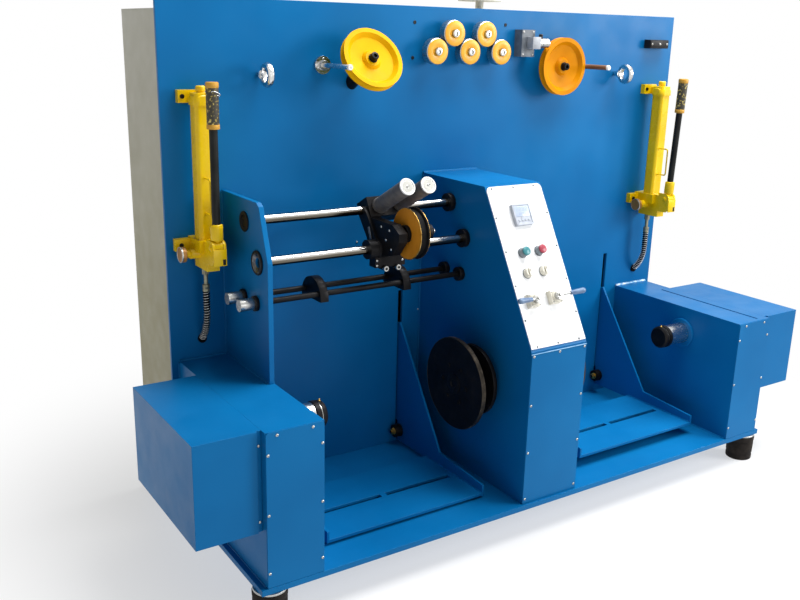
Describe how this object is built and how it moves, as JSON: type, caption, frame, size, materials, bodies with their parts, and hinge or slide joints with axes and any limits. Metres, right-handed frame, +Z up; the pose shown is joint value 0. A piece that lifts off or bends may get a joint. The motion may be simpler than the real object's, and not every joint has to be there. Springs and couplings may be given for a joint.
{
  "type": "wire rewinding machine",
  "caption": "Two-station wire rewinding machine: upright panel with straightening rollers and sheaves, console, traverse carriage, pintles and hydraulic lifting tables.",
  "frame": {"origin": "on the floor, under the middle of the machine's box", "axes": "+Z up, +X to the right of a person facing the control panel, -Y to the front"},
  "size_m": [2.43, 0.9758, 1.677],
  "materials": {
    "blue_paint": "satin",
    "rubber": "matte",
    "grey_paint": "satin",
    "white_paint": "satin",
    "grey_plastic": "matte",
    "bright_steel": "brushed",
    "chrome_bar": "polished",
    "cream_plastic": "matte",
    "black_steel": "satin",
    "black_plastic": "matte",
    "yellow_paint": "gloss",
    "orange_paint": "gloss",
    "bronze_knob": "satin",
    "green_plastic": "gloss",
    "red_plastic": "gloss"
  },
  "bodies": {
    "machine": {"base_plate": "blue_paint", "rubber_feet": "rubber", "back_panel": "blue_paint", "cabinet_sides": "grey_paint", "cabinet_roof": "grey_paint", "rear_covers": "grey_paint", "console_housing": "blue_paint", "control_panel": "white_paint", "front_covers": "blue_paint", "panel_meter": "grey_plastic", "control_bezels": "bright_steel", "valve_bodies": "cream_plastic", "side_columns": "blue_paint", "side_wings": "blue_paint", "bracket_plate": "blue_paint", "guide_bars": "chrome_bar", "bar_flanges": "black_steel", "trip_rods": "black_steel", "rod_knobs": "bright_steel", "trip_dogs": "black_steel", "wire_guides": "bright_steel", "roller_axles": "black_steel", "length_encoder": "grey_plastic", "switch_box": "black_plastic", "pump_bodies": "yellow_paint", "pump_hoses": "rubber", "hose_fittings": "bright_steel", "top_fitting": "cream_plastic"},
    "left_drive_flange": {"left_drive_flange": "black_steel"},
    "right_drive_flange": {"right_drive_flange": "black_steel"},
    "left_pintle_sleeve": {"left_pintle_sleeve": "bright_steel"},
    "left_pintle_nose": {"left_pintle_nose": "black_steel"},
    "right_pintle_sleeve": {"right_pintle_sleeve": "bright_steel"},
    "right_pintle_nose": {"right_pintle_nose": "black_steel"},
    "left_table": {"left_table": "blue_paint", "left_table_rollers": "black_steel"},
    "right_table": {"right_table": "blue_paint", "right_table_rollers": "black_steel"},
    "carriage_body": {"carriage_body": "black_steel"},
    "carriage_pulley": {"carriage_pulley": "orange_paint"},
    "left_guide_roller": {"left_guide_roller": "black_steel"},
    "right_guide_roller": {"right_guide_roller": "black_steel"},
    "left_sheave": {"left_sheave": "yellow_paint"},
    "right_sheave": {"right_sheave": "orange_paint"},
    "straightener_1": {"straightener_1": "yellow_paint"},
    "straightener_2": {"straightener_2": "yellow_paint"},
    "straightener_3": {"straightener_3": "yellow_paint"},
    "straightener_4": {"straightener_4": "yellow_paint"},
    "straightener_5": {"straightener_5": "yellow_paint"},
    "left_pump_lever": {"left_pump_lever": "black_steel"},
    "right_pump_lever": {"right_pump_lever": "black_steel"},
    "left_release_knob": {"left_release_knob": "bronze_knob"},
    "right_release_knob": {"right_release_knob": "bronze_knob"},
    "left_valve_lever": {"left_valve_lever": "black_steel"},
    "right_valve_lever": {"right_valve_lever": "black_steel"},
    "start_button": {"start_button": "green_plastic"},
    "stop_button": {"stop_button": "red_plastic"},
    "left_selector": {"left_selector": "cream_plastic"},
    "right_selector": {"right_selector": "cream_plastic"}
  },
  "joints": [
    {"name": "left_drive_spin", "type": "hinge", "parent": "machine", "child": "left_drive_flange", "pos_m": [-0.135, -0.222, 0.468], "axis": [1, 0, 0], "continuous": true},
    {"name": "right_drive_spin", "type": "hinge", "parent": "machine", "child": "right_drive_flange", "pos_m": [0.093, -0.222, 0.468], "axis": [1, 0, 0], "continuous": true},
    {"name": "left_pintle_slide", "type": "slide", "parent": "machine", "child": "left_pintle_sleeve", "axis": [1, 0, 0], "range_m": [-0.07, 0.03]},
    {"name": "right_pintle_slide", "type": "slide", "parent": "machine", "child": "right_pintle_sleeve", "axis": [-1, 0, 0], "range_m": [-0.07, 0.03]},
    {"name": "left_nose_spin", "type": "hinge", "parent": "left_pintle_sleeve", "child": "left_pintle_nose", "pos_m": [-0.745, -0.222, 0.468], "axis": [1, 0, 0], "continuous": true},
    {"name": "right_nose_spin", "type": "hinge", "parent": "right_pintle_sleeve", "child": "right_pintle_nose", "pos_m": [0.745, -0.222, 0.468], "axis": [1, 0, 0], "continuous": true},
    {"name": "left_table_lift", "type": "slide", "parent": "machine", "child": "left_table", "axis": [0, 0, 1], "range_m": [0, 0.11]},
    {"name": "right_table_lift", "type": "slide", "parent": "machine", "child": "right_table", "axis": [0, 0, 1], "range_m": [-0.025, 0.11]},
    {"name": "carriage_traverse", "type": "slide", "parent": "machine", "child": "carriage_body", "axis": [1, 0, 0], "range_m": [-0.31, 0.165]},
    {"name": "pulley_spin", "type": "hinge", "parent": "carriage_body", "child": "carriage_pulley", "pos_m": [-0.424, -0.2, 0.976], "axis": [1, 0, 0], "continuous": true},
    {"name": "left_guide_spin", "type": "hinge", "parent": "carriage_body", "child": "left_guide_roller", "pos_m": [-0.431, -0.025, 1.023], "axis": [0, -0.8829, 0.4695], "continuous": true},
    {"name": "right_guide_spin", "type": "hinge", "parent": "carriage_body", "child": "right_guide_roller", "pos_m": [-0.356, -0.025, 1.023], "axis": [0, -0.8829, 0.4695], "continuous": true},
    {"name": "left_sheave_spin", "type": "hinge", "parent": "machine", "child": "left_sheave", "pos_m": [-0.42, 0.022, 1.476], "axis": [0, -0.8572, 0.515], "continuous": true},
    {"name": "right_sheave_spin", "type": "hinge", "parent": "machine", "child": "right_sheave", "pos_m": [0.42, 0.083, 1.455], "axis": [0, -1, 0], "continuous": true},
    {"name": "straightener_1_spin", "type": "hinge", "parent": "machine", "child": "straightener_1", "pos_m": [-0.131, 0.099, 1.501], "axis": [0, -1, 0], "continuous": true},
    {"name": "straightener_2_spin", "type": "hinge", "parent": "machine", "child": "straightener_2", "pos_m": [-0.064, 0.099, 1.559], "axis": [0, -1, 0], "continuous": true},
    {"name": "straightener_3_spin", "type": "hinge", "parent": "machine", "child": "straightener_3", "pos_m": [0.003, 0.099, 1.501], "axis": [0, -1, 0], "continuous": true},
    {"name": "straightener_4_spin", "type": "hinge", "parent": "machine", "child": "straightener_4", "pos_m": [0.07, 0.099, 1.559], "axis": [0, -1, 0], "continuous": true},
    {"name": "straightener_5_spin", "type": "hinge", "parent": "machine", "child": "straightener_5", "pos_m": [0.137, 0.099, 1.501], "axis": [0, -1, 0], "continuous": true},
    {"name": "left_pump_stroke", "type": "hinge", "parent": "machine", "child": "left_pump_lever", "pos_m": [-0.95, -0.007, 0.95], "axis": [1, 0, 0], "range_deg": [0, 50]},
    {"name": "right_pump_stroke", "type": "hinge", "parent": "machine", "child": "right_pump_lever", "pos_m": [0.95, -0.007, 0.95], "axis": [1, 0, 0], "range_deg": [-2, 48]},
    {"name": "left_release_turn", "type": "hinge", "parent": "machine", "child": "left_release_knob", "pos_m": [-1.03, 0.09, 0.916], "axis": [1, 0, 0], "range_deg": [0, 180]},
    {"name": "right_release_turn", "type": "hinge", "parent": "machine", "child": "right_release_knob", "pos_m": [0.87, 0.09, 0.916], "axis": [1, 0, 0], "range_deg": [0, 180]},
    {"name": "left_valve_turn", "type": "hinge", "parent": "machine", "child": "left_valve_lever", "pos_m": [-0.083, -0.39302, 0.76646], "axis": [0, -0.8682, 0.4961], "range_deg": [-45, 45]},
    {"name": "right_valve_turn", "type": "hinge", "parent": "machine", "child": "right_valve_lever", "pos_m": [0.005, -0.39302, 0.76646], "axis": [0, -0.8682, 0.4961], "range_deg": [-45, 45]},
    {"name": "start_press", "type": "slide", "parent": "machine", "child": "start_button", "axis": [0, 0.8682, -0.4961], "range_m": [0, 0.004], "stiffness_N_per_m": 800},
    {"name": "stop_press", "type": "slide", "parent": "machine", "child": "stop_button", "axis": [0, 0.8682, -0.4961], "range_m": [0, 0.004], "stiffness_N_per_m": 800},
    {"name": "left_selector_turn", "type": "hinge", "parent": "machine", "child": "left_selector", "pos_m": [-0.068, -0.34886, 0.84374], "axis": [0, -0.8682, 0.4961], "range_deg": [-45, 45]},
    {"name": "right_selector_turn", "type": "hinge", "parent": "machine", "child": "right_selector", "pos_m": [-0.002, -0.34886, 0.84374], "axis": [0, -0.8682, 0.4961], "range_deg": [-45, 45]}
  ]
}
